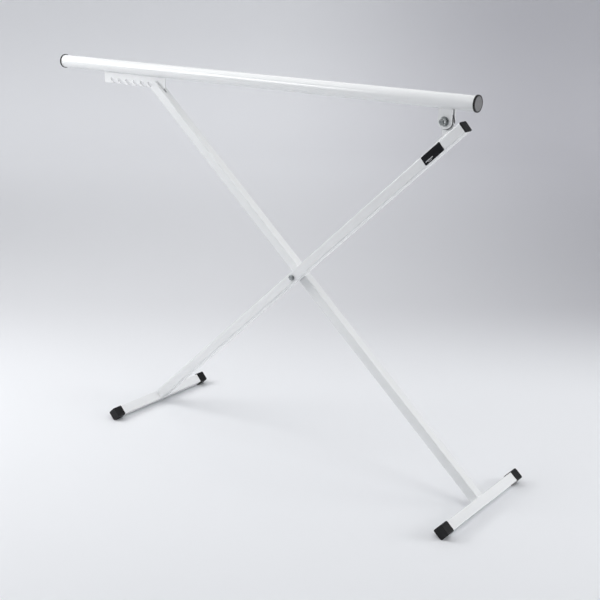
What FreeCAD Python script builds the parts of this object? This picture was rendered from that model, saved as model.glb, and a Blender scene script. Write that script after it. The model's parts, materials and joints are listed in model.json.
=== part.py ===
import FreeCAD, Part
import math
import os
import Sketcher
from FreeCAD import Placement, Rotation, Vector

# Folding ballet barre: two square-tube legs cross side by side on a bolt. The front leg
# carries a hinge for the round barre. The rear leg's forked top straddles a notch plate
# under the barre, and its catch pin sits in one of seven slanted slots.
# X runs along the barre, Y across it, Z up. The origin is on the floor, under the middle.

DIMENSIONS = {
    # round barre
    "barre_diameter": 38, "barre_wall": 2, "barre_length": 1480, "barre_left": -789.5,
    "barre_height": 1040, "barre_cap_radius": 21, "barre_cap_flange": 4.5, "barre_cap_plug": 22,
    "barre_disc_radius": 17.7, "barre_disc_thickness": 1.2, "barre_disc_sink": 0.3,
    # square tube of the legs and feet
    "leg_side": 28, "leg_wall": 1.8, "leg_corner": 3, "leg_offset": 16.75,
    "front_leg_angle": 42.72, "front_foot_x": -372, "front_leg_reach": 1431.5,
    "rear_leg_angle": 139.67, "rear_foot_x": 769.5,
    "foot_length": 394, "foot_height": 19.2,
    # black plastic caps
    "cap_wall": 1.8, "cap_end": 4, "cap_skirt": 28, "cap_round": 1.2, "top_cap_end": 4,
    "top_cap_plug": 18, "plug_play": 0.1,
    # catch pin, fork and notch plate
    "pin_radius": 4, "pin_reach": 1511, "pin_offset": 3.8, "pin_end_margin": 2,
    "fork_gap": 6, "fork_depth": 46,
    "plate_thickness": 5, "plate_left": 223, "plate_right": 36, "plate_drop": 11.7,
    "plate_corner": 3, "plate_round": 0.6, "washer_round": 0.3,
    "slot_width": 9, "slot_slant": 32, "slot_pitch": 32, "slot_count": 7,
    # hinge under the barre
    "hinge_x": 607, "hinge_z": 991.5, "ear_radius": 19, "ear_thickness": 4,
    "ear_spacing": 15.5, "lug_radius": 17, "lug_thickness": 4, "lug_above": 6, "lug_below": 38,
    "thrust_radius": 21, "thrust_thickness": 3.2,
    "hinge_bolt_radius": 6, "hinge_hex": 18, "hinge_head": 7.5, "hinge_nut": 11,
    "hinge_washer_radius": 12, "hinge_washer": 2.5, "hinge_tail": 3,
    # crossing pivot
    "cross_bolt_radius": 4, "cross_hex": 13, "cross_head": 5.3, "cross_nut": 8,
    "cross_washer_radius": 8, "cross_washer": 1.6, "cross_tail": 3,
    "bush_radius": 6, "spacer_radius": 9, "turn_play": 0.05, "side_play": 0.3,
    # blank plate on the front leg
    "label_length": 66, "label_width": 24, "label_thickness": 0.8,
    "label_reach": 1324, "label_corner": 2,
}

doc = FreeCAD.newDocument("BalletBarre")
sheet = doc.addObject("Spreadsheet::Sheet", "dims")
for row, (alias, number) in enumerate(DIMENSIONS.items(), start=1):
    sheet.set(f"A{row}", alias)
    sheet.set(f"B{row}", str(number))
    sheet.setAlias(f"B{row}", alias)
doc.recompute()

subparts = []
Y_AXIS = Vector(0, 1, 0)
THROUGH_ALL = 1


def value(alias):
    return float(sheet.get(alias))


# ---------------------------------------------------------------- shared frames

def leg_frame(foot_x, side, angle):
    """Local X runs up the leg from its foot, Y stays across, Z is square to both."""
    base = Vector(foot_x, side * value("leg_offset"), value("foot_height"))
    return Placement(base, Rotation(Y_AXIS, -angle))


FRONT = leg_frame(value("front_foot_x"), -1, value("front_leg_angle"))
REAR = leg_frame(value("rear_foot_x"), 1, value("rear_leg_angle"))
HINGE = Placement(Vector(value("hinge_x"), value("leg_offset"), value("hinge_z")), Rotation())
HINGE_ON_LEG = FRONT.inverse().multVec(HINGE.Base)
PIN_ON_LEG = Vector(value("pin_reach"), 0, -value("pin_offset"))
PIN = REAR.multVec(PIN_ON_LEG)


def crossing():
    """Distances up the front and rear legs to the point where their axes cross."""
    front_way = FRONT.Rotation.multVec(Vector(1, 0, 0))
    rear_way = REAR.Rotation.multVec(Vector(1, 0, 0))
    gap = REAR.Base - FRONT.Base
    turn = front_way.x * rear_way.z - front_way.z * rear_way.x
    front_reach = (gap.x * rear_way.z - gap.z * rear_way.x) / turn
    rear_reach = (gap.x * front_way.z - gap.z * front_way.x) / turn
    return front_reach, rear_reach


CROSS_FRONT, CROSS_REAR = crossing()
CROSS = FRONT.multVec(Vector(CROSS_FRONT, 0, 0))
FACING_NEAR = Rotation(Vector(1, 0, 0), 90)     # turns local Z to -Y
FACING_FAR = Rotation(Vector(1, 0, 0), -90)     # turns local Z to +Y


# ---------------------------------------------------------------- building blocks

def keep(item, label, placement=None):
    """Register a finished sub-part under the label that names its file."""
    item.Label = label
    if placement is not None:
        item.Placement = placement
    subparts.append(item)
    return item


def bind(item, **expressions):
    for prop, expression in expressions.items():
        item.setExpression(prop, expression)


def new_body(name):
    return doc.addObject("PartDesign::Body", name)


def new_sketch(body, role, name, lift=None):
    """A sketch on one of the body's own origin planes, lifted along its normal."""
    sketch = body.newObject("Sketcher::SketchObject", name)
    plane = [item for item in body.Origin.OriginFeatures if item.Role == role][0]
    sketch.AttachmentSupport = [(plane, "")]
    sketch.MapMode = "FlatFace"
    if lift is not None:
        sketch.setExpression("AttachmentOffset.Base.z", lift)
    return sketch


def bind_constraint(sketch, constraint, expression):
    index = sketch.addConstraint(constraint)
    sketch.setExpression(f"Constraints[{index}]", expression)


def draw_circle(sketch, radius, x=None, y=None):
    """A circle at the sketch origin, or at x and y given as expressions."""
    ring = sketch.addGeometry(Part.Circle(Vector(1, 1, 0), Vector(0, 0, 1), 5))
    bind_constraint(sketch, Sketcher.Constraint("Radius", ring, 5), radius)
    if x is None and y is None:
        sketch.addConstraint(Sketcher.Constraint("Coincident", ring, 3, -1, 1))
        return
    bind_constraint(sketch, Sketcher.Constraint("DistanceX", -1, 1, ring, 3, 1), x or "0")
    bind_constraint(sketch, Sketcher.Constraint("DistanceY", -1, 1, ring, 3, 1), y or "0")


def draw_rectangle(sketch, left, bottom, right, top):
    """A rectangle whose four sides are expressions measured from the sketch origin."""
    low = (eval_expression(left), eval_expression(bottom))
    high = (eval_expression(right), eval_expression(top))
    corners = [Vector(low[0], low[1]), Vector(high[0], low[1]),
               Vector(high[0], high[1]), Vector(low[0], high[1])]
    lines = [sketch.addGeometry(Part.LineSegment(a, b))
             for a, b in zip(corners, corners[1:] + corners[:1])]
    for index, line in enumerate(lines):
        sketch.addConstraint(Sketcher.Constraint("Coincident", line, 2, lines[(index + 1) % 4], 1))
        sketch.addConstraint(Sketcher.Constraint("Vertical" if index % 2 else "Horizontal", line))
    bind_constraint(sketch, Sketcher.Constraint("DistanceX", -1, 1, lines[0], 1, low[0]), left)
    bind_constraint(sketch, Sketcher.Constraint("DistanceY", -1, 1, lines[0], 1, low[1]), bottom)
    bind_constraint(sketch, Sketcher.Constraint("DistanceX", -1, 1, lines[1], 2, high[0]), right)
    bind_constraint(sketch, Sketcher.Constraint("DistanceY", -1, 1, lines[1], 2, high[1]), top)


def eval_expression(expression):
    return float(sheet.evalExpression(expression.replace("dims.", "")))


def draw_rounded_square(sketch, side, corner):
    """A square with rounded corners, centred on the sketch origin."""
    half, round_off = eval_expression(side) / 2, eval_expression(corner)
    flat = half - round_off
    lines, arcs = [], []
    for quarter in range(4):
        turn = Rotation(Vector(0, 0, 1), 90 * quarter)
        start = turn.multVec(Vector(-flat, -half, 0))
        end = turn.multVec(Vector(flat, -half, 0))
        centre = turn.multVec(Vector(flat, -flat, 0))
        circle = Part.Circle(centre, Vector(0, 0, 1), round_off)
        low = math.radians(-90 + 90 * quarter)
        lines.append(sketch.addGeometry(Part.LineSegment(start, end)))
        arcs.append(sketch.addGeometry(Part.ArcOfCircle(circle, low, low + math.pi / 2)))
    for quarter in range(4):
        line, arc, following = lines[quarter], arcs[quarter], lines[(quarter + 1) % 4]
        sketch.addConstraint(Sketcher.Constraint("Tangent", line, 2, arc, 1))
        sketch.addConstraint(Sketcher.Constraint("Tangent", arc, 2, following, 1))
        sketch.addConstraint(Sketcher.Constraint("Vertical" if quarter % 2 else "Horizontal", line))
    for arc in arcs[1:]:
        sketch.addConstraint(Sketcher.Constraint("Equal", arcs[0], arc))
    sketch.addConstraint(Sketcher.Constraint("Symmetric", arcs[0], 3, arcs[2], 3, -1, 1))
    bind_constraint(sketch, Sketcher.Constraint("Radius", arcs[0], round_off), corner)
    bind_constraint(sketch, Sketcher.Constraint("DistanceX", arcs[2], 3, arcs[0], 3, 2 * flat),
                    f"{side} - 2 * {corner}")
    bind_constraint(sketch, Sketcher.Constraint("DistanceY", arcs[0], 3, arcs[2], 3, 2 * flat),
                    f"{side} - 2 * {corner}")


def draw_tab(sketch, radius, height, left=None, right=None):
    """A tab: a round about the origin, with sides tangent to it that run up to a flat end.

    The end spans from -left to right. Both are the radius unless they are given, which
    makes the sides upright.
    """
    left, right = left or radius, right or radius
    reach, top = eval_expression(radius), eval_expression(height)
    near, far = eval_expression(left), eval_expression(right)
    start = math.atan2(top, -near) + math.acos(reach / math.hypot(top, near))
    end = math.atan2(top, far) - math.acos(reach / math.hypot(top, far)) + 2 * math.pi
    bowl = Part.Circle(Vector(0, 0, 0), Vector(0, 0, 1), reach)
    arc = sketch.addGeometry(Part.ArcOfCircle(bowl, start, end))
    touch_left, touch_right = bowl.value(start), bowl.value(end)
    corner_left, corner_right = Vector(-near, top, 0), Vector(far, top, 0)
    rising = sketch.addGeometry(Part.LineSegment(touch_right, corner_right))
    lid = sketch.addGeometry(Part.LineSegment(corner_right, corner_left))
    falling = sketch.addGeometry(Part.LineSegment(corner_left, touch_left))
    sketch.addConstraint([
        Sketcher.Constraint("Coincident", arc, 3, -1, 1),
        Sketcher.Constraint("Tangent", arc, 2, rising, 1),
        Sketcher.Constraint("Coincident", rising, 2, lid, 1),
        Sketcher.Constraint("Coincident", lid, 2, falling, 1),
        Sketcher.Constraint("Tangent", falling, 2, arc, 1),
        Sketcher.Constraint("Horizontal", lid),
    ])
    bind_constraint(sketch, Sketcher.Constraint("Radius", arc, reach), radius)
    bind_constraint(sketch, Sketcher.Constraint("DistanceY", -1, 1, lid, 1, top), height)
    bind_constraint(sketch, Sketcher.Constraint("DistanceX", -1, 1, lid, 1, far), right)
    bind_constraint(sketch, Sketcher.Constraint("DistanceX", lid, 2, -1, 1, near), left)


def pad(body, sketch, length, reverse=False, centred=False):
    feature = body.newObject("PartDesign::Pad", "Pad")
    feature.Profile = sketch
    feature.Reversed = reverse
    feature.Midplane = centred
    feature.setExpression("Length", length)
    doc.recompute()
    return feature


def pocket(body, sketch, length=None, reverse=False):
    """Cut to a length, or right through both ways when no length is given."""
    before = body.Shape.Volume
    feature = body.newObject("PartDesign::Pocket", "Pocket")
    feature.Profile = sketch
    feature.Reversed = reverse
    if length is None:
        feature.Type = THROUGH_ALL
        feature.Midplane = True
    else:
        feature.setExpression("Length", length)
    doc.recompute()
    if not body.Shape.Volume < before:
        raise RuntimeError(f"{body.Name}: a pocket cuts nothing")
    return feature


def fillet(body, radius, chosen):
    """Round the edges of the body's tip whose centre the test function accepts."""
    tip = body.Tip
    names = [f"Edge{number}" for number, edge in enumerate(tip.Shape.Edges, start=1)
             if chosen(edge.BoundBox)]
    if not names:
        raise RuntimeError(f"{body.Name}: no edge to round")
    feature = body.newObject("PartDesign::Fillet", "Fillet")
    feature.Base = (tip, names)
    feature.setExpression("Radius", radius)
    doc.recompute()
    return feature


def at_x(place):
    """An edge test: the whole edge lies at this local X."""
    return lambda box: abs(box.XMin - place) < 1e-4 and abs(box.XMax - place) < 1e-4


def at_y(place):
    return lambda box: abs(box.YMin - place) < 1e-4 and abs(box.YMax - place) < 1e-4


def on_faces(thickness):
    """An edge test for a plate padded both ways from local Y = 0: the edges of its two faces."""
    half = value(thickness[5:]) / 2
    return lambda box: at_y(half)(box) or at_y(-half)(box)


def ring(name, outer, inner, height, edge_round=None):
    """A washer, spacer or bush standing along local Z, with its rims rounded if asked."""
    body = new_body(name)
    sketch = new_sketch(body, "XY_Plane", f"{name}_ring")
    draw_circle(sketch, outer)
    draw_circle(sketch, inner)
    pad(body, sketch, height)
    if edge_round:
        fillet(body, edge_round, lambda box: box.ZLength < 1e-4 and box.XLength > 1e-4)
    return body


def hexagon(name, across_flats, height):
    """A hexagonal head or nut blank along local Z, with its corners chamfered."""
    prism = doc.addObject("Part::Prism", f"{name}_prism")
    prism.Polygon = 6
    bind(prism, Circumradius=f"{across_flats} / sqrt(3)", Height=height)
    crown = doc.addObject("Part::Cone", f"{name}_crown")
    bind(crown, Radius1=f"{across_flats} / sqrt(3) + {height}", Height=height,
         Radius2=f"{across_flats} * 0.49")
    blank = doc.addObject("Part::Common", f"{name}_blank")
    blank.Base, blank.Tool = prism, crown
    return blank


def rod(name, radius, length, placement=None):
    item = doc.addObject("Part::Cylinder", name)
    bind(item, Radius=radius, Height=length)
    if placement is not None:
        item.Placement = placement
    return item


def joined(name, *items):
    union = doc.addObject("Part::MultiFuse", name)
    union.Shapes = list(items)
    return union


def cut(name, base, tool):
    item = doc.addObject("Part::Cut", name)
    item.Base, item.Tool = base, tool
    return item


# ---------------------------------------------------------------- square tubes

def square_tube(name, length, holes=()):
    """A rounded square tube along local X, with cross holes given as (radius, x)."""
    body = new_body(name)
    section = new_sketch(body, "YZ_Plane", f"{name}_section")
    draw_rounded_square(section, "dims.leg_side", "dims.leg_corner")
    draw_rounded_square(section, "(dims.leg_side - 2 * dims.leg_wall)",
                        "(dims.leg_corner - dims.leg_wall)")
    pad(body, section, length)
    for radius, reach in holes:
        hole = new_sketch(body, "XZ_Plane", f"{name}_hole")
        draw_circle(hole, radius, reach)
        pocket(body, hole)
    return body


def front_leg():
    reach = CROSS_FRONT - value("leg_side") / 2
    body = square_tube("FrontLeg",
                       "dims.front_leg_reach - dims.top_cap_end - dims.leg_side / 2",
                       [("dims.cross_bolt_radius + dims.turn_play", f"{reach}")])
    keep(body, "front_leg_tube", FRONT * Placement(Vector(value("leg_side") / 2, 0, 0), Rotation()))


def rear_leg():
    """The top is forked to straddle the notch plate and seated for the catch pin."""
    start = value("leg_side") / 2
    body = square_tube("RearLeg", "dims.pin_reach + dims.pin_end_margin - dims.leg_side / 2",
                       [("dims.bush_radius", f"{CROSS_REAR - start}")])
    fork = new_sketch(body, "XY_Plane", "RearLeg_fork")
    end = "dims.pin_reach + dims.pin_end_margin - dims.leg_side / 2"
    draw_rectangle(fork, f"{end} - dims.fork_depth", "-dims.fork_gap / 2",
                   f"{end} + 1", "dims.fork_gap / 2")
    pocket(body, fork)
    seat = new_sketch(body, "XZ_Plane", "RearLeg_seat")
    draw_circle(seat, "dims.pin_radius", "dims.pin_reach - dims.leg_side / 2", "-dims.pin_offset")
    pocket(body, seat)
    keep(body, "rear_leg_tube", REAR * Placement(Vector(start, 0, 0), Rotation()))


def foot_tube(frame, name, label):
    """A foot lies across the barre, turned so that its faces follow its leg."""
    body = new_body(name)
    section = new_sketch(body, "XZ_Plane", f"{name}_section")
    draw_rounded_square(section, "dims.leg_side", "dims.leg_corner")
    draw_rounded_square(section, "(dims.leg_side - 2 * dims.leg_wall)",
                        "(dims.leg_corner - dims.leg_wall)")
    pad(body, section, "dims.foot_length - 2 * dims.cap_end", centred=True)
    keep(body, label, frame)


# ---------------------------------------------------------------- plastic caps

def foot_cap(frame, name, label, side):
    """A sleeve cap over a foot's end: its lowest corner is flattened to lie on the floor."""
    body = new_body(name)
    skirt = value("cap_skirt")
    outer = new_sketch(body, "XZ_Plane", f"{name}_outer")
    draw_rounded_square(outer, "(dims.leg_side + 2 * dims.cap_wall)",
                        "(dims.leg_corner + dims.cap_wall)")
    pad(body, outer, "dims.cap_skirt")
    fillet(body, "dims.cap_round", at_y(-skirt))
    inner = new_sketch(body, "XZ_Plane", f"{name}_inner")
    draw_rounded_square(inner, "dims.leg_side", "dims.leg_corner")
    pocket(body, inner, "dims.cap_skirt - dims.cap_end", reverse=True)
    turn = Rotation(Vector(0, 0, 1), 0 if side < 0 else 180)
    end = Vector(0, side * (value("foot_length") / 2 - skirt), 0)
    body.Placement = frame * Placement(end, turn)
    floor = doc.addObject("Part::Box", f"{name}_floor")
    size = 8 * skirt
    floor.Length = floor.Width = floor.Height = size
    middle = body.Placement.multVec(Vector(0, 0, 0))
    floor.Placement = Placement(Vector(middle.x - size / 2, middle.y - size / 2, -size), Rotation())
    keep(cut(f"{name}_cut", body, floor), label)


def leg_top_cap():
    body = new_body("LegTopCap")
    face = new_sketch(body, "YZ_Plane", "LegTopCap_face")
    draw_rounded_square(face, "dims.leg_side", "dims.leg_corner")
    pad(body, face, "dims.top_cap_end")
    fillet(body, "dims.cap_round", at_x(value("top_cap_end")))
    plug = new_sketch(body, "YZ_Plane", "LegTopCap_plug")
    draw_rounded_square(plug, "(dims.leg_side - 2 * dims.leg_wall - 2 * dims.plug_play)",
                        "(dims.leg_corner - dims.leg_wall)")
    pad(body, plug, "dims.top_cap_plug", reverse=True)
    place = Vector(value("front_leg_reach") - value("top_cap_end"), 0, 0)
    keep(body, "front_leg_top_cap", FRONT * Placement(place, Rotation()))


def barre_cap(side_name, side):
    """A round cap: a flange that overhangs the tube's end, and a plug inside the tube."""
    name = f"BarreCap_{side_name}"
    body = new_body(name)
    flange = new_sketch(body, "YZ_Plane", f"{name}_flange")
    draw_circle(flange, "dims.barre_cap_radius")
    pad(body, flange, "dims.barre_cap_flange")
    fillet(body, "dims.cap_round", at_x(value("barre_cap_flange")))
    recess = new_sketch(body, "YZ_Plane", f"{name}_recess", "dims.barre_cap_flange")
    draw_circle(recess, "dims.barre_disc_radius + dims.plug_play")
    pocket(body, recess, "dims.barre_disc_thickness + dims.barre_disc_sink")
    plug = new_sketch(body, "YZ_Plane", f"{name}_plug")
    draw_circle(plug, "dims.barre_diameter / 2 - dims.barre_wall - dims.plug_play")
    pad(body, plug, "dims.barre_cap_plug", reverse=True)
    middle = value("barre_left") + value("barre_length") / 2
    reach = value("barre_length") / 2 - value("barre_cap_flange")
    centre = Vector(middle + side * reach, value("leg_offset"), value("barre_height"))
    place = Placement(centre, Rotation(Vector(0, 0, 1), 0 if side > 0 else 180))
    keep(body, f"barre_cap_{side_name}", place)
    barre_disc(side_name, place)


def barre_disc(side_name, place):
    """The grey disc let into a barre cap's face, just below its rim."""
    body = new_body(f"BarreDisc_{side_name}")
    face = new_sketch(body, "YZ_Plane", f"BarreDisc_{side_name}_face")
    draw_circle(face, "dims.barre_disc_radius")
    pad(body, face, "dims.barre_disc_thickness")
    depth = value("barre_cap_flange") - value("barre_disc_sink") - value("barre_disc_thickness")
    keep(body, f"barre_disc_{side_name}", place * Placement(Vector(depth, 0, 0), Rotation()))


# ---------------------------------------------------------------- barre

def barre_tube():
    body = new_body("BarreTube")
    section = new_sketch(body, "YZ_Plane", "BarreTube_section")
    draw_circle(section, "dims.barre_diameter / 2")
    draw_circle(section, "dims.barre_diameter / 2 - dims.barre_wall")
    pad(body, section, "dims.barre_length - 2 * dims.barre_cap_flange")
    start = value("barre_left") + value("barre_cap_flange")
    keep(body, "barre_tube",
         Placement(Vector(start, value("leg_offset"), value("barre_height")), Rotation()))


def saddle(body, name, height):
    """Shape the top of a plate under the barre to the tube's round underside."""
    curve = new_sketch(body, "YZ_Plane", f"{name}_saddle")
    draw_circle(curve, "dims.barre_diameter / 2", None, height)
    pocket(body, curve)


def draw_slot(sketch):
    """One slanted slot: a round closed end at the origin, open below the plate."""
    radius = eval_expression("dims.slot_width") / 2
    slant = -math.radians(value("slot_slant"))
    length = 2 * value("plate_drop") / math.sin(-slant)
    way = Vector(math.cos(slant), math.sin(slant), 0)
    across = Vector(-way.y, way.x, 0)
    bowl = Part.Circle(Vector(0, 0, 0), Vector(0, 0, 1), radius)
    arc = Part.ArcOfCircle(bowl, slant + math.pi / 2, slant + 3 * math.pi / 2)
    end = sketch.addGeometry(arc)
    upper = sketch.addGeometry(Part.LineSegment(across * radius + way * length, across * radius))
    lower = sketch.addGeometry(Part.LineSegment(across * -radius, across * -radius + way * length))
    mouth = sketch.addGeometry(Part.LineSegment(across * -radius + way * length,
                                                across * radius + way * length))
    sketch.addConstraint([
        Sketcher.Constraint("Coincident", end, 3, -1, 1),
        Sketcher.Constraint("Tangent", upper, 2, end, 1),
        Sketcher.Constraint("Tangent", end, 2, lower, 1),
        Sketcher.Constraint("Coincident", lower, 2, mouth, 1),
        Sketcher.Constraint("Coincident", mouth, 2, upper, 1),
        Sketcher.Constraint("Perpendicular", mouth, lower),
        Sketcher.Constraint("Parallel", upper, lower),
    ])
    bind_constraint(sketch, Sketcher.Constraint("Radius", end, radius), "dims.slot_width / 2")
    bind_constraint(sketch, Sketcher.Constraint("Distance", lower, length), f"{length}")
    bind_constraint(sketch, Sketcher.Constraint("Angle", -1, 1, lower, 1, slant),
                    "-dims.slot_slant")


def notch_plate():
    """The plate under the barre. Its slots open downward, toward the hinge."""
    body = new_body("NotchPlate")
    rise = f"(dims.barre_height - {PIN.z})"
    face = new_sketch(body, "XZ_Plane", "NotchPlate_face")
    draw_rectangle(face, "-dims.plate_left", "-dims.plate_drop", "dims.plate_right", rise)
    pad(body, face, "dims.plate_thickness", centred=True)
    low = -value("plate_drop")
    ends = (-value("plate_left"), value("plate_right"))
    fillet(body, "dims.plate_corner",
           lambda box: box.ZMax - low < 1e-4 and box.XLength < 1e-4
           and min(abs(box.XMin - end) for end in ends) < 1e-4)
    fillet(body, "dims.plate_round", on_faces("dims.plate_thickness"))
    saddle(body, "NotchPlate", rise)
    slot = new_sketch(body, "XZ_Plane", "NotchPlate_slot")
    draw_slot(slot)
    first = pocket(body, slot)
    row = body.newObject("PartDesign::LinearPattern", "NotchPlate_slots")
    row.Originals = [first]
    row.Direction = (slot, ["H_Axis"])
    row.Reversed = True
    bind(row, Length="(dims.slot_count - 1) * dims.slot_pitch", Occurrences="dims.slot_count")
    body.Tip = row
    doc.recompute()
    keep(body, "notch_plate", Placement(Vector(PIN.x, value("leg_offset"), PIN.z), Rotation()))


# ---------------------------------------------------------------- hinge

def hinge_ear(name, label, side):
    """One of the two ears that hang from the barre, either side of the leg's lug."""
    body = new_body(name)
    rise = "(dims.barre_height - dims.hinge_z)"
    face = new_sketch(body, "XZ_Plane", f"{name}_face")
    draw_tab(face, "dims.ear_radius", rise)
    draw_circle(face, "dims.hinge_bolt_radius + dims.turn_play")
    pad(body, face, "dims.ear_thickness", centred=True)
    fillet(body, "dims.plate_round", on_faces("dims.ear_thickness"))
    place = Vector(0, side * value("ear_spacing") / 2, 0)
    tube = rod(f"{name}_tube", "dims.barre_diameter / 2", "4 * dims.ear_radius")
    tube.Placement = HINGE * Placement(
        Vector(-2 * value("ear_radius"), 0, value("barre_height") - value("hinge_z")),
        Rotation(Y_AXIS, 90))
    body.Placement = HINGE * Placement(place, Rotation())
    keep(cut(f"{name}_cut", body, tube), label)


def front_leg_lug():
    """A folded plate: its foot is welded on the leg's upper face, its tab holds the bolt."""
    foot_z = value("leg_side") / 2
    rise = HINGE_ON_LEG.z - foot_z
    tab = new_body("LugTab")
    face = new_sketch(tab, "XZ_Plane", "LugTab_face")
    draw_tab(face, "dims.lug_radius", f"{rise}", left="dims.lug_above", right="dims.lug_below")
    draw_circle(face, "dims.hinge_bolt_radius")
    pad(tab, face, "dims.lug_thickness", centred=True)
    fillet(tab, "dims.plate_round", on_faces("dims.lug_thickness"))
    tab.Placement = FRONT * Placement(HINGE_ON_LEG, Rotation(Y_AXIS, 180))
    foot = new_body("LugFoot")
    plan = new_sketch(foot, "XY_Plane", "LugFoot_plan")
    draw_rectangle(plan, "-dims.lug_below", "-dims.leg_side / 2 + 2 * dims.leg_wall",
                   "dims.lug_above", "2 * dims.leg_offset + dims.lug_thickness / 2")
    pad(foot, plan, "dims.lug_thickness")
    foot.Placement = FRONT * Placement(Vector(HINGE_ON_LEG.x, 0, foot_z), Rotation())
    keep(joined("Lug", tab, foot), "front_leg_lug")


def hinge_place(offset, facing):
    return HINGE * Placement(Vector(0, offset, 0), facing)


def hinge_hardware():
    """Bolt head on the far side, lock nut on the near side, with play beside the ears."""
    outside = value("ear_spacing") / 2 + value("ear_thickness") / 2 + value("side_play")
    seat = outside + value("hinge_washer")
    washers = []
    for name, facing, side in (("near", FACING_NEAR, -1), ("far", FACING_FAR, 1)):
        washer = ring(f"HingeWasher_{name}", "dims.hinge_washer_radius",
                      "dims.hinge_bolt_radius", "dims.hinge_washer", "dims.washer_round")
        washer.Placement = hinge_place(side * outside, facing)
        washers.append(washer)
    keep(doc.addObject("Part::Compound", "HingeWashers"), "hinge_washers").Links = washers

    head = hexagon("HingeHead", "dims.hinge_hex", "dims.hinge_head")
    head.Placement = hinge_place(seat, FACING_FAR)
    shank_length = 2 * seat + value("hinge_nut") + value("hinge_tail")
    shank = rod("HingeShank", "dims.hinge_bolt_radius", f"{shank_length}",
                hinge_place(seat, FACING_NEAR))
    keep(joined("HingeBolt", head, shank), "hinge_bolt")

    blank = hexagon("HingeNut", "dims.hinge_hex", "dims.hinge_nut")
    hole = rod("HingeNut_hole", "dims.hinge_bolt_radius", "dims.hinge_nut")
    nut = cut("HingeNut_cut", blank, hole)
    keep(nut, "hinge_nut", hinge_place(-seat, FACING_NEAR))


def thrust_washers():
    """Dark nylon discs that keep the lug centred between the ears."""
    discs = []
    for name, facing, side in (("near", FACING_NEAR, -1), ("far", FACING_FAR, 1)):
        disc = ring(f"Thrust_{name}", "dims.thrust_radius", "dims.hinge_bolt_radius",
                    "dims.thrust_thickness", "dims.washer_round")
        disc.Placement = hinge_place(side * value("lug_thickness") / 2, facing)
        discs.append(disc)
    keep(doc.addObject("Part::Compound", "ThrustWashers"), "hinge_thrust_washers").Links = discs


# ---------------------------------------------------------------- crossing pivot

def cross_place(y, facing):
    return Placement(Vector(CROSS.x, y, CROSS.z), facing)


def crossing_hardware():
    """The bolt is held by the front leg. The rear leg turns on it through a bush."""
    half = value("leg_side") / 2
    near_face = -value("leg_offset") - half
    far_face = value("leg_offset") + half + value("side_play")
    inner_face = -value("leg_offset") + half
    washers = []
    for name, y, facing in (("near", near_face, FACING_NEAR), ("far", far_face, FACING_FAR)):
        washer = ring(f"CrossWasher_{name}", "dims.cross_washer_radius",
                      "dims.cross_bolt_radius", "dims.cross_washer", "dims.washer_round")
        washer.Placement = cross_place(y, facing)
        washers.append(washer)
    keep(doc.addObject("Part::Compound", "CrossWashers"), "cross_washers").Links = washers

    head_seat = near_face - value("cross_washer")
    nut_seat = far_face + value("cross_washer")
    head = hexagon("CrossHead", "dims.cross_hex", "dims.cross_head")
    head.Placement = cross_place(head_seat, FACING_NEAR)
    shank_length = nut_seat - head_seat + value("cross_nut") + value("cross_tail")
    shank = rod("CrossShank", "dims.cross_bolt_radius", f"{shank_length}",
                cross_place(head_seat, FACING_FAR))
    keep(joined("CrossBolt", head, shank), "cross_bolt")

    blank = hexagon("CrossNut", "dims.cross_hex", "dims.cross_nut")
    hole = rod("CrossNut_hole", "dims.cross_bolt_radius", "dims.cross_nut")
    keep(cut("CrossNut_cut", blank, hole), "cross_nut", cross_place(nut_seat, FACING_FAR))

    spacer_length = "2 * (dims.leg_offset - dims.leg_side / 2) - dims.side_play"
    spacer = ring("CrossSpacer", "dims.spacer_radius", "dims.cross_bolt_radius", spacer_length)
    keep(spacer, "cross_spacer", cross_place(inner_face, FACING_FAR))


def rear_pivot_bush():
    bush = ring("PivotBush", "dims.bush_radius",
                "dims.cross_bolt_radius + dims.turn_play", "dims.leg_side")
    keep(bush, "rear_pivot_bush",
         cross_place(value("leg_offset") - value("leg_side") / 2, FACING_FAR))


def catch_pin():
    pin = rod("CatchPin", "dims.pin_radius", "dims.leg_side")
    start = REAR.multVec(PIN_ON_LEG + Vector(0, -value("leg_side") / 2, 0))
    keep(pin, "rear_catch_pin", Placement(start, FACING_FAR))


def label_plate():
    """A blank plate on the front leg's near face."""
    body = new_body("LabelPlate")
    face = new_sketch(body, "XZ_Plane", "LabelPlate_face")
    half_long, half_wide = "dims.label_length / 2", "dims.label_width / 2"
    draw_rectangle(face, f"-{half_long}", f"-{half_wide}", half_long, half_wide)
    pad(body, face, "dims.label_thickness")
    fillet(body, "dims.label_corner", lambda box: box.XLength < 1e-4 and box.ZLength < 1e-4)
    place = Vector(value("label_reach"), -value("leg_side") / 2, 0)
    keep(body, "label_plate", FRONT * Placement(place, Rotation()))


# ---------------------------------------------------------------- assembly

front_leg()
leg_top_cap()
front_leg_lug()
label_plate()
foot_tube(FRONT, "FrontFoot", "front_foot_tube")
foot_cap(FRONT, "FrontCapNear", "front_foot_cap_near", -1)
foot_cap(FRONT, "FrontCapFar", "front_foot_cap_far", 1)
rear_leg()
catch_pin()
rear_pivot_bush()
foot_tube(REAR, "RearFoot", "rear_foot_tube")
foot_cap(REAR, "RearCapNear", "rear_foot_cap_near", -1)
foot_cap(REAR, "RearCapFar", "rear_foot_cap_far", 1)
barre_tube()
barre_cap("left", -1)
barre_cap("right", 1)
notch_plate()
hinge_ear("EarNear", "hinge_ear_near", -1)
hinge_ear("EarFar", "hinge_ear_far", 1)
hinge_hardware()
thrust_washers()
crossing_hardware()
doc.recompute()

for item in doc.Objects:
    if "Invalid" in item.State or "Error" in item.State:
        raise RuntimeError(f"{item.Name} failed: {item.State}")
for item in subparts:
    if item.Shape.isNull() or not item.Shape.isValid() or not item.Shape.Solids:
        raise RuntimeError(f"{item.Label} has no valid solid")

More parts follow.
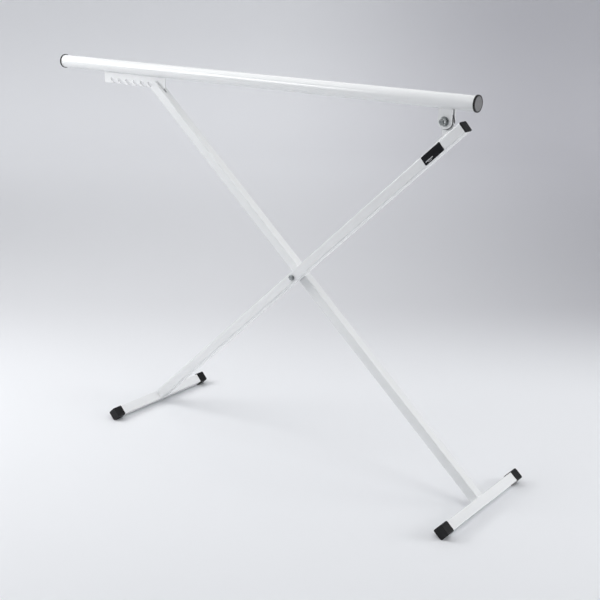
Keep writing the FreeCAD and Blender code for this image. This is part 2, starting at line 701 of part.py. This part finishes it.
os.makedirs("parts", exist_ok=True)
for item in subparts:
    item.Shape.exportStep(f"parts/{item.Label}.step")
    print(item.Label, len(item.Shape.Solids), round(item.Shape.Volume))
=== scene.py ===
import json
import math
import random

import bmesh
import bpy
from mathutils import Matrix, Vector


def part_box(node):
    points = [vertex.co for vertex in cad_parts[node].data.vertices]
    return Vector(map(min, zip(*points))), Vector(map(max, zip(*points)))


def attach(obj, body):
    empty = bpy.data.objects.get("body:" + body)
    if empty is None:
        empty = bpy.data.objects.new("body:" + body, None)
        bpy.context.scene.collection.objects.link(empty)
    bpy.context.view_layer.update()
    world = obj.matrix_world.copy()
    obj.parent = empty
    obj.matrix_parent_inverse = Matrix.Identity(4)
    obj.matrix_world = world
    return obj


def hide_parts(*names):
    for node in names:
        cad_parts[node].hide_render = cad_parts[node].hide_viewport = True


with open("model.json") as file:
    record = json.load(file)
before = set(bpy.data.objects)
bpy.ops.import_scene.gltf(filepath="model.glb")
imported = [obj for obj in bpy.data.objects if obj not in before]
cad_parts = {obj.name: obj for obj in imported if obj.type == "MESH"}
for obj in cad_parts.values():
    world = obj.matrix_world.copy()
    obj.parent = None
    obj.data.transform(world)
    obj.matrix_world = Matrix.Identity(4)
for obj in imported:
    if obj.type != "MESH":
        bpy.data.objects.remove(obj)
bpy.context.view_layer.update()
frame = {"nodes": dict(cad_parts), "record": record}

# A folding ballet barre: white powder-coated tubes, black plastic caps and zinc fasteners.
# X runs along the barre, Y across it and Z up, in metres. The legs are square tubes.
MM = 0.001


# ---------------------------------------------------------------- materials

def new_material(name):
    """A node material and its Principled shader."""
    material = bpy.data.materials.new(name)
    material.use_nodes = True
    nodes = material.node_tree.nodes
    nodes.clear()
    output = nodes.new("ShaderNodeOutputMaterial")
    shader = nodes.new("ShaderNodeBsdfPrincipled")
    material.node_tree.links.new(shader.outputs["BSDF"], output.inputs["Surface"])
    return material, shader


def node(material, kind, **inputs):
    """A new node whose inputs are given by name, as numbers or as another node's output."""
    made = material.node_tree.nodes.new(kind)
    for name, given in inputs.items():
        socket = made.inputs[name.replace("_", " ")]
        if isinstance(given, bpy.types.NodeSocket):
            material.node_tree.links.new(given, socket)
        else:
            socket.default_value = given
    return made


def place_of(material):
    return node(material, "ShaderNodeTexCoord").outputs["Object"]


def noise(material, scale, detail=3.0, roughness=0.5):
    made = node(material, "ShaderNodeTexNoise", Vector=place_of(material), Scale=scale,
                Detail=detail, Roughness=roughness)
    return made.outputs["Fac"]


def ramp(material, fac, low, high):
    """A colour or a number that runs from low to high as fac goes from 0 to 1."""
    if isinstance(low, (int, float)):
        made = node(material, "ShaderNodeMapRange", Value=fac, To_Min=low, To_Max=high)
        return made.outputs["Result"]
    made = material.node_tree.nodes.new("ShaderNodeMix")
    made.data_type = "RGBA"
    factor, first, second = made.inputs[0], made.inputs[6], made.inputs[7]
    first.default_value, second.default_value = (*low, 1), (*high, 1)
    material.node_tree.links.new(fac, factor)
    return made.outputs[2]


def wire(material, output, socket):
    material.node_tree.links.new(output, socket)


def add_bump(material, shader, height, distance):
    bump = node(material, "ShaderNodeBump", Height=height, Distance=distance, Strength=1.0)
    wire(material, bump.outputs["Normal"], shader.inputs["Normal"])


def surface(name, tone, gloss, grain=None, specular=None):
    """A finish whose colour and roughness each follow a noise, with a fine grain on it.

    tone and gloss are a noise's settings and the two values it runs between. grain is a
    noise's settings and its height.
    """
    material, shader = new_material(name)
    for (pattern, low, high), socket in ((tone, "Base Color"), (gloss, "Roughness")):
        wire(material, ramp(material, noise(material, *pattern), low, high), shader.inputs[socket])
    if grain:
        pattern, height = grain
        add_bump(material, shader, noise(material, *pattern), height)
    if specular is not None:
        shader.inputs["Specular IOR Level"].default_value = specular
    return material


def white_coat():
    """Satin white powder coat: orange peel, and a colour that hardly varies."""
    return surface("white_coat", ((6,), (0.83, 0.84, 0.845), (0.87, 0.875, 0.875)),
                   ((90, 2), 0.12, 0.20), ((520, 2), 0.03 * MM))


def black_plastic():
    """Moulded plastic with a fine grain and a slightly uneven tone."""
    return surface("black_plastic", ((30,), (0.004, 0.004, 0.0045), (0.009, 0.009, 0.010)),
                   ((140, 4), 0.38, 0.56), ((1800, 3, 0.7), 0.05 * MM), specular=0.26)


def grey_plastic():
    return surface("grey_plastic", ((120, 4), (0.12, 0.12, 0.125), (0.17, 0.17, 0.175)),
                   ((300, 3), 0.36, 0.5), ((1400, 3, 0.7), 0.06 * MM))


def zinc_steel():
    """Zinc plate: dull and spangled, with darker stains."""
    material = surface("zinc_steel", ((260, 5), (0.20, 0.215, 0.22), (0.50, 0.52, 0.52)),
                       ((420, 4), 0.20, 0.38), ((1500, 3), 0.03 * MM))
    material.node_tree.nodes["Principled BSDF"].inputs["Metallic"].default_value = 1
    return material


def dark_nylon():
    return surface("dark_nylon", ((60,), (0.14, 0.14, 0.145), (0.19, 0.19, 0.195)),
                   ((200,), 0.42, 0.56), ((900, 2), 0.04 * MM))


def label_black():
    return surface("label_black", ((80,), (0.008, 0.008, 0.010), (0.014, 0.014, 0.016)),
                   ((160,), 0.18, 0.28), ((240, 1), 0.03 * MM), specular=0.2)


def pale_ink():
    return surface("pale_ink", ((400,), (0.50, 0.50, 0.51), (0.62, 0.62, 0.63)),
                   ((300,), 0.3, 0.45))


def dotted(material, place, way):
    """How far a place lies along a way, as a node's output."""
    made = material.node_tree.nodes.new("ShaderNodeVectorMath")
    made.operation = "DOT_PRODUCT"
    wire(material, place, made.inputs[0])
    made.inputs[1].default_value = way
    return made.outputs["Value"]


def faded(material, fac, start, end):
    """0 up to start and 1 from end on, with a smooth step between them."""
    made = node(material, "ShaderNodeMapRange", Value=fac, From_Min=start, From_Max=end)
    made.interpolation_type = "SMOOTHSTEP"
    return made.outputs["Result"]


def stage_paper():
    """Seamless paper, pale under the object, with painted shade that greys it behind the object and
    towards the right, and a painted glow from the far paper.
    """
    material, shader = new_material("stage_paper")
    place = place_of(material)
    # Painted shade: the tone goes from the pale floor to the greyer wall behind the object, and
    # darkens towards the right.
    behind = faded(material, dotted(material, place, BACK), *STAGE_TURN)
    aside = faded(material, dotted(material, place, RIGHT), *PAINTED_SHADE_SIDE)
    floor = ramp(material, aside, FLOOR_LEFT, FLOOR_RIGHT)
    wall = ramp(material, aside, WALL_LEFT, WALL_RIGHT)
    tone = material.node_tree.nodes.new("ShaderNodeMix")
    tone.data_type = "RGBA"
    for output, index in ((behind, 0), (floor, 6), (wall, 7)):
        wire(material, output, tone.inputs[index])
    wire(material, tone.outputs[2], shader.inputs["Base Color"])
    wire(material, tone.outputs[2], shader.inputs["Emission Color"])
    # Painted glow: the paper emits its own colour, from none near the object to full strength far
    # behind it, and it is weaker higher up, down to half.
    far = faded(material, dotted(material, place, BACK), *PAINTED_GLOW_DEPTH)
    high = faded(material, dotted(material, place, (0, 0, 1)), 0, 1)
    painted_glow = material.node_tree.nodes.new("ShaderNodeMath")
    painted_glow.operation = "MULTIPLY"
    wire(material, ramp(material, far, 0.0, STAGE_PAINTED_GLOW), painted_glow.inputs[0])
    wire(material, ramp(material, high, 1.0, 0.5), painted_glow.inputs[1])
    wire(material, painted_glow.outputs["Value"], shader.inputs["Emission Strength"])
    shader.inputs["Roughness"].default_value = 0.9
    shader.inputs["Specular IOR Level"].default_value = 0.1
    return material


# ---------------------------------------------------------------- stage, lights and camera

CAMERA_PLACE = Vector((1.8973, -2.1998, 1.3629))
CAMERA_TURN, CAMERA_TILT, CAMERA_ROLL = map(math.radians, (37.98, -18.067, 0.745))
CAMERA_LENS, CAMERA_SENSOR = 63.16, 36.0
BACK = (-math.sin(CAMERA_TURN), math.cos(CAMERA_TURN), 0)
RIGHT = (math.cos(CAMERA_TURN), math.sin(CAMERA_TURN), 0)
# The stage paper's tones carry painted shade: the wall tones are greyer than the floor's, and the
# right-hand tones are darker than the left's. The glow strength and depth give the far paper a painted
# glow.
STAGE_TURN, PAINTED_SHADE_SIDE = (0.25, 1.3), (-0.3, 2.2)
FLOOR_LEFT, FLOOR_RIGHT = (0.84, 0.85, 0.87), (0.80, 0.81, 0.83)
WALL_LEFT, WALL_RIGHT = (0.725, 0.73, 0.75), (0.495, 0.495, 0.525)
STAGE_FLAT, STAGE_BEND, STAGE_TOP = 5.0, 2.0, 6.0
STAGE_PAINTED_GLOW, PAINTED_GLOW_DEPTH = 0.28, (0.9, 4.5)
SKY_FRONT, SKY_BACK = 1.2, 0.0


def make_camera():
    camera = bpy.data.objects.new("camera", bpy.data.cameras.new("camera"))
    bpy.context.scene.collection.objects.link(camera)
    camera.data.lens, camera.data.sensor_width = CAMERA_LENS, CAMERA_SENSOR
    turn = (Matrix.Rotation(CAMERA_TURN, 4, "Z") @ Matrix.Rotation(math.pi / 2 + CAMERA_TILT, 4, "X")
            @ Matrix.Rotation(CAMERA_ROLL, 4, "Z"))
    camera.matrix_world = Matrix.Translation(CAMERA_PLACE) @ turn
    bpy.context.scene.camera = camera


def make_stage():
    """A round seamless sweep: a flat floor that bends up into a wall on every side."""
    profile = [(0.0, 0.0), (STAGE_FLAT, 0.0)]
    for step in range(1, 13):
        angle = math.radians(90 * step / 12)
        profile.append((STAGE_FLAT + STAGE_BEND * math.sin(angle),
                        STAGE_BEND * (1 - math.cos(angle))))
    profile.append((STAGE_FLAT + STAGE_BEND, STAGE_TOP))
    mesh = bmesh.new()
    rings, sides = [], 96
    for radius, height in profile[1:]:
        rings.append([mesh.verts.new((radius * math.cos(2 * math.pi * k / sides),
                                      radius * math.sin(2 * math.pi * k / sides), height))
                      for k in range(sides)])
    centre = mesh.verts.new((0, 0, 0))
    for k in range(sides):
        mesh.faces.new((centre, rings[0][k], rings[0][(k + 1) % sides]))
        for low, high in zip(rings, rings[1:]):
            mesh.faces.new((low[k], high[k], high[(k + 1) % sides], low[(k + 1) % sides]))
    sweep = finish_mesh(mesh, "stage_sweep", stage_paper())


def softbox(name, place, size, power, aim=(0, 0, 0.5)):
    """A rectangular area light that the camera doesn't see."""
    lamp = bpy.data.lights.new(name, "AREA")
    lamp.shape = "RECTANGLE"
    lamp.size, lamp.size_y = size
    lamp.energy = power
    light = bpy.data.objects.new(name, lamp)
    bpy.context.scene.collection.objects.link(light)
    light.location = place
    way = Vector(aim) - Vector(place)
    light.rotation_mode = "QUATERNION"
    light.rotation_quaternion = way.to_track_quat("-Z", "Y")
    light.visible_camera = False


def make_lights():
    softbox("overhead", (-1.2, 0.3, 2.7), (3.0, 1.3), 15.8)
    softbox("key", (-1.75, -1.4, 1.7), (1.9, 0.8), 30.4, aim=(0, 0, 0.8))
    softbox("fill", (2.6, 1.2, 0.9), (1.2, 1.2), 24.3, aim=(0.5, 0, 0.7))
    softbox("top_back", (0.3, 2.2, 2.9), (2.5, 1.0), 4.1)
    softbox("top_right", (1.6, 0.0, 2.9), (1.2, 1.2), 13.8)
    make_sky()
    view = bpy.context.scene.view_settings
    view.view_transform, view.look = "Standard", "None"


def make_sky():
    """Soft light from the open front of the set, fading to none behind it."""
    world = bpy.data.worlds.new("studio")
    world.use_nodes = True
    sky = world.node_tree.nodes["Background"]
    sky.inputs["Color"].default_value = (0.97, 0.985, 1.0, 1)
    way = node(world, "ShaderNodeTexCoord").outputs["Generated"]
    depth = node(world, "ShaderNodeMapRange", Value=dotted(world, way, BACK),
                 From_Min=-0.7, From_Max=0.5, To_Min=SKY_FRONT, To_Max=SKY_BACK)
    wire(world, depth.outputs["Result"], sky.inputs["Strength"])
    bpy.context.scene.world = world


# ---------------------------------------------------------------- mesh helpers

SHARP_ANGLE = math.radians(38)


def finish_mesh(mesh, name, material, place=None):
    """Turn a bmesh into a linked object with one material."""
    bmesh.ops.recalc_face_normals(mesh, faces=mesh.faces)
    if place is not None:
        mesh.transform(place)
    data = bpy.data.meshes.new(name)
    mesh.to_mesh(data)
    mesh.free()
    data.materials.append(material)
    data.polygons.foreach_set("use_smooth", [True] * len(data.polygons))
    data.set_sharp_from_angle(angle=SHARP_ANGLE)
    made = bpy.data.objects.new(name, data)
    bpy.context.scene.collection.objects.link(made)
    return made


def add_piece(mesh, name, slot, body, place=None, material=None):
    """A finished piece that rides on a body and takes a slot's finish."""
    piece = finish_mesh(mesh, name, material or MATERIALS[slot], place)
    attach(piece, body)
    return piece


def join_rings(mesh, rings, closed=False):
    """Skin a run of rings of vertices, and cap both ends unless the run is closed."""
    pairs = list(zip(rings, rings[1:] + rings[:1])) if closed else list(zip(rings, rings[1:]))
    for one, two in pairs:
        count = len(one)
        for k in range(count):
            mesh.faces.new((one[k], one[(k + 1) % count], two[(k + 1) % count], two[k]))
    if not closed:
        mesh.faces.new(rings[0])
        mesh.faces.new(list(reversed(rings[-1])))


def resample(points, step, closed=False):
    """Evenly spaced points along a path of straight runs."""
    points = [Vector(point) for point in points]
    if closed:
        points.append(points[0])
    made = []
    for start, end in zip(points, points[1:]):
        count = max(1, round((end - start).length / step))
        made += [start.lerp(end, k / count) for k in range(count)]
    return made if closed else made + [points[-1]]


def turned(mesh, profile, flats=None, sides=72, inner=0.0):
    """A turned shape along Z from (radius, height) pairs.

    It is kept inside a hexagon if flats is given, and is hollow if inner, its bore, is given.
    """
    rings = []
    for radius, height in profile:
        circle = []
        for k in range(sides):
            angle = 2 * math.pi * k / sides
            reach = radius
            if flats:
                off_flat = (angle % (math.pi / 3)) - math.pi / 6
                reach = min(radius, flats / 2 / math.cos(off_flat))
            reach = max(reach, inner)
            circle.append(mesh.verts.new((reach * math.cos(angle), reach * math.sin(angle), height)))
        rings.append(circle)
    join_rings(mesh, rings, closed=inner > 0)


# ---------------------------------------------------------------- places on the frame

JOINTS = {joint["name"]: Vector(joint["pos_m"]) for joint in frame["record"]["behaviour"]["joints"]}
CROSS, HINGE = JOINTS["leg_fold"], JOINTS["barre_lift"]
TUBE_CORNER = 3 * MM
LUG_ABOVE, LUG_BELOW = 6 * MM, 38 * MM
ACROSS = Vector((0, 1, 0))
TO_NEAR, TO_FAR = Matrix.Rotation(math.pi / 2, 4, "X"), Matrix.Rotation(-math.pi / 2, 4, "X")


def middle(name):
    low, high = map(Vector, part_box(name))
    return (low + high) / 2


def size(name):
    low, high = map(Vector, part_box(name))
    return high - low


def leg_place(leg):
    """A leg's own frame: X up the leg from its foot's axis, Y across, Z square to both."""
    foot, tube = middle(f"{leg}_foot_tube"), middle(f"{leg}_leg_tube")
    base = Vector((foot.x, tube.y, foot.z))
    up = Vector((CROSS.x - base.x, 0, CROSS.z - base.z)).normalized()
    turn = Matrix((up, ACROSS, up.cross(ACROSS))).transposed()
    return Matrix.Translation(base) @ turn.to_4x4()


# ---------------------------------------------------------------- weld beads

BEAD_SIDES, BEAD_PITCH, RIPPLES_PER_STEP = 10, 1.9 * MM, 4
FOOT_BEAD, PLATE_BEAD, EAR_BEAD, LUG_BEAD, PIN_BEAD = 2.0 * MM, 1.5 * MM, 1.8 * MM, 1.5 * MM, 0.9 * MM


def bead(name, body, points, radius, closed=False, place=None):
    """A weld bead along a path: a rippled, slightly uneven round ridge with tapered ends."""
    chance = random.Random(name)
    path = resample(points, BEAD_PITCH / RIPPLES_PER_STEP, closed)
    count = len(path)
    mesh = bmesh.new()
    rings, swell = [], 1.0
    for k, point in enumerate(path):
        before = path[k - 1] if closed or k else path[0]
        after = path[(k + 1) % count] if closed or k + 1 < count else path[-1]
        way = (after - before).normalized()
        side = way.orthogonal() if abs(way.y) > 0.99 else way.cross(ACROSS)
        side.normalize()
        lift = way.cross(side)
        if k % RIPPLES_PER_STEP == 0:
            swell = chance.uniform(0.93, 1.07)
        ripple = 1 + 0.09 * math.sin(math.pi * (k % RIPPLES_PER_STEP) / RIPPLES_PER_STEP)
        taper = 1.0 if closed else min(1.0, 0.35 + 0.3 * min(k, count - 1 - k))
        reach = radius * ripple * swell * taper
        rings.append([mesh.verts.new(point + reach * (math.cos(2 * math.pi * j / BEAD_SIDES) * side
                                                      + math.sin(2 * math.pi * j / BEAD_SIDES) * lift))
                      for j in range(BEAD_SIDES)])
    join_rings(mesh, rings, closed)
    add_piece(mesh, name, "white_coat", body, place)


def rounded_loop(half_across, half_up, corner, height, steps=6):
    """A rounded rectangle round a leg's axis at a height up the leg, in the leg's frame."""
    loop = []
    for quarter in range(4):
        y_side, z_side = ((1, 1), (-1, 1), (-1, -1), (1, -1))[quarter]
        for step in range(steps + 1):
            angle = math.pi / 2 * (quarter + step / steps)
            loop.append((height, y_side * (half_across - corner) + corner * math.cos(angle),
                         z_side * (half_up - corner) + corner * math.sin(angle)))
    return loop


def foot_welds():
    """A bead all round the joint of each leg and its foot."""
    for leg in ("front", "rear"):
        half = size(f"{leg}_leg_tube").y / 2
        loop = rounded_loop(half, half - 1.2 * MM, TUBE_CORNER, half)
        bead(f"{leg}_foot_weld", f"{leg}_leg", loop, FOOT_BEAD, closed=True, place=leg_place(leg))


def under_barre(y):
    """Height of the tube's underside at a distance across."""
    axis, radius = middle("barre_tube"), size("barre_tube").z / 2
    return axis.z - math.sqrt(radius ** 2 - (y - axis.y) ** 2)


def plate_welds(stitches=5, stitch=26 * MM):
    """Short beads, near and far, where the notch plate meets the tube."""
    low, high = map(Vector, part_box("notch_plate"))
    gap = (high.x - low.x - stitch) / (stitches - 1)
    for side, y in (("near", low.y), ("far", high.y)):
        for k in range(stitches):
            start = Vector((low.x + k * gap, y, under_barre(y)))
            end = start + Vector((stitch, 0, 0))
            bead(f"plate_weld_{side}_{k + 1}", "barre", [start, end], PLATE_BEAD)


def ear_welds():
    """A bead along the top of each ear's outer face."""
    for side, corner in (("near", 0), ("far", 1)):
        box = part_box(f"hinge_ear_{side}")
        y = box[corner][1]
        ends = [Vector((box[end][0], y, under_barre(y))) for end in (0, 1)]
        bead(f"ear_weld_{side}", "barre", ends, EAR_BEAD)


def lug_weld():
    """A bead round the three sides of the lug's foot that lie on the leg."""
    place = leg_place("front")
    reach = place.inverted() @ HINGE
    half = size("front_leg_tube").y / 2
    near_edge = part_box("front_leg_lug")[0][1] - middle("front_leg_tube").y
    low, high = reach.x - LUG_BELOW, reach.x + LUG_ABOVE
    inside = half - TUBE_CORNER
    path = [(low, inside, half), (low, near_edge, half), (high, near_edge, half), (high, inside, half)]
    bead("lug_weld", "front_leg", path, LUG_BEAD, place=place)


def pin_welds(steps=32):
    """A small ring where each end of the catch pin meets the rear leg's side."""
    low, high = map(Vector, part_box("rear_catch_pin"))
    axis, radius = middle("rear_catch_pin"), size("rear_catch_pin").z / 2
    for side, y in (("near", low.y), ("far", high.y)):
        loop = [(axis.x + radius * math.cos(2 * math.pi * k / steps), y,
                 axis.z + radius * math.sin(2 * math.pi * k / steps)) for k in range(steps)]
        bead(f"pin_weld_{side}", "rear_leg", loop, PIN_BEAD, closed=True)


# ---------------------------------------------------------------- bolts and nuts

def thread(mesh, radius, pitch, start, end, sides=48):
    """A helical ridge on a bolt's shank, cut off square at both ends."""
    depth = 0.54 * pitch
    shoulder = radius - 0.06 * depth
    shape = ((0.0, radius - depth), (0.38, shoulder), (0.50, radius), (0.62, shoulder))
    turns = int((end - start) / pitch) + 2
    rows = []
    for k in range(turns * sides):
        angle = 2 * math.pi * k / sides
        row = []
        for rise, reach in shape:
            height = start + pitch * (k / sides - 1 + rise)
            reach = min(reach, radius - depth + max(0.0, end - height))
            height = min(max(height, start), end)
            row.append(mesh.verts.new((reach * math.cos(angle), reach * math.sin(angle), height)))
        rows.append(row)
    for k in range(len(rows) - sides - 1):
        here, along = rows[k] + [rows[k + sides][0]], rows[k + 1] + [rows[k + 1 + sides][0]]
        for low in range(len(shape)):
            mesh.faces.new((here[low], here[low + 1], along[low + 1], along[low]))
    bmesh.ops.dissolve_degenerate(mesh, dist=1e-7, edges=mesh.edges)
    return radius - depth


def make_bolt(node_name, centre, head_y, turn, flats, head, radius, pitch, threaded):
    """A hexagon-head bolt with a washer face, a chamfered head and a threaded tail."""
    length = size(node_name).y
    corner, seat_face = flats / math.sqrt(3), head - 0.5 * MM
    crown_edge = 0.02 * head
    plain_end = length - threaded
    mesh = bmesh.new()
    core = thread(mesh, radius, pitch, plain_end, length - 0.3 * MM)
    turned(mesh, [(flats * 0.45, 0), (flats * 0.475, crown_edge),
                  (corner, crown_edge + 0.3 * (corner - flats / 2)),
                  (corner, seat_face), (flats * 0.47, seat_face), (flats * 0.47, head),
                  (radius, head), (radius, plain_end), (core, plain_end),
                  (core, length - 0.5 * MM), (core - 0.6 * MM, length)], flats)
    place = Matrix.Translation((centre.x, head_y, centre.z)) @ turn
    piece = add_piece(mesh, f"{node_name}_threaded", "zinc_steel", "front_leg", place)
    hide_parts(node_name)


def make_lock_nut(node_name, centre, seat_y, turn, flats, bore):
    """A lock nut: a chamfered hexagon, a crimped round collar and a nylon ring inside it."""
    height = size(node_name).y
    corner, shoulder, lip = flats / math.sqrt(3), 0.70 * height, flats * 0.40
    throat, mouth = lip - 0.5 * MM, height - 0.5 * MM
    place = Matrix.Translation((centre.x, seat_y, centre.z)) @ turn
    mesh = bmesh.new()
    rise = 0.3 * (corner - flats / 2)
    turned(mesh, [(bore, 0), (flats * 0.47, 0), (corner, rise), (corner, shoulder - rise * 1.6),
                  (flats * 0.475, shoulder), (flats * 0.455, shoulder + 0.3 * MM),
                  (flats * 0.445, height - 1.1 * MM), (flats * 0.43, height - 0.4 * MM),
                  (lip, height), (throat, height - 0.1 * MM), (lip - 0.6 * MM, mouth),
                  (bore, mouth)], flats, inner=bore)
    piece = add_piece(mesh, f"{node_name}_hexagon", "zinc_steel", "front_leg", place)
    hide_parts(node_name)
    mesh = bmesh.new()
    turned(mesh, [(bore, height - 0.9 * MM), (throat, height - 0.9 * MM),
                  (throat, height - 0.45 * MM), (bore + 0.8 * MM, height - 0.25 * MM),
                  (bore, mouth)], inner=bore)
    add_piece(mesh, f"{node_name}_nylon_ring", "dark_nylon", "front_leg", place)


def fasteners():
    """An M12 bolt and nut at the hinge, and an M8 bolt and nut at the legs' crossing."""
    make_bolt("hinge_bolt", HINGE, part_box("hinge_bolt")[1][1], TO_NEAR, flats=18 * MM,
              head=7.5 * MM, radius=6 * MM, pitch=1.75 * MM, threaded=16 * MM)
    make_bolt("cross_bolt", CROSS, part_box("cross_bolt")[0][1], TO_FAR, flats=13 * MM,
              head=5.3 * MM, radius=4 * MM, pitch=1.25 * MM, threaded=12 * MM)
    make_lock_nut("hinge_nut", HINGE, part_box("hinge_nut")[1][1], TO_NEAR, flats=18 * MM, bore=6 * MM)
    make_lock_nut("cross_nut", CROSS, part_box("cross_nut")[0][1], TO_FAR, flats=13 * MM, bore=4 * MM)


# ---------------------------------------------------------------- label

STRIPE_RISE, STRIPE_SINK = 0.12 * MM, 0.02 * MM
STRIPE_ALONG = -15 * MM


def label_stripe(name, length, width, up, steps=8):
    """A plain raised bar with round ends on the blank label, off the middle towards the foot."""
    place = leg_place("front")
    centre = place.inverted() @ middle("label_plate")
    face = centre.y - size("label_plate").y / 2 + STRIPE_SINK
    outline = []
    for end, first in ((1, -90), (-1, 90)):
        for step in range(steps + 1):
            angle = math.radians(first + 180 * step / steps)
            outline.append((end * (length - width) / 2 + width / 2 * math.cos(angle),
                            width / 2 * math.sin(angle)))
    mesh = bmesh.new()
    rings = []
    for scale, rise in ((1.0, 0.0), (1.0, STRIPE_RISE * 0.6), (0.97, STRIPE_RISE)):
        rings.append([mesh.verts.new((centre.x + STRIPE_ALONG + x * scale, face - rise,
                                      centre.z + up + z * scale)) for x, z in outline])
    join_rings(mesh, rings)
    add_piece(mesh, name, "label_black", "front_leg", place, INK)


# ---------------------------------------------------------------- assembly

MATERIALS = {"white_coat": white_coat(), "black_plastic": black_plastic(),
             "zinc_steel": zinc_steel(), "dark_nylon": dark_nylon(),
             "label_black": label_black(), "grey_plastic": grey_plastic()}
INK = pale_ink()

for part in frame["nodes"].values():
    for entry in part.material_slots:
        entry.material = MATERIALS[entry.material.name.split(".")[0]]

foot_welds()
plate_welds()
ear_welds()
lug_weld()
pin_welds()
fasteners()
label_stripe("label_bar", 26 * MM, 2.2 * MM, -5 * MM)
label_stripe("label_line", 14 * MM, 1.0 * MM, -8.5 * MM)
make_stage()
make_lights()
make_camera()
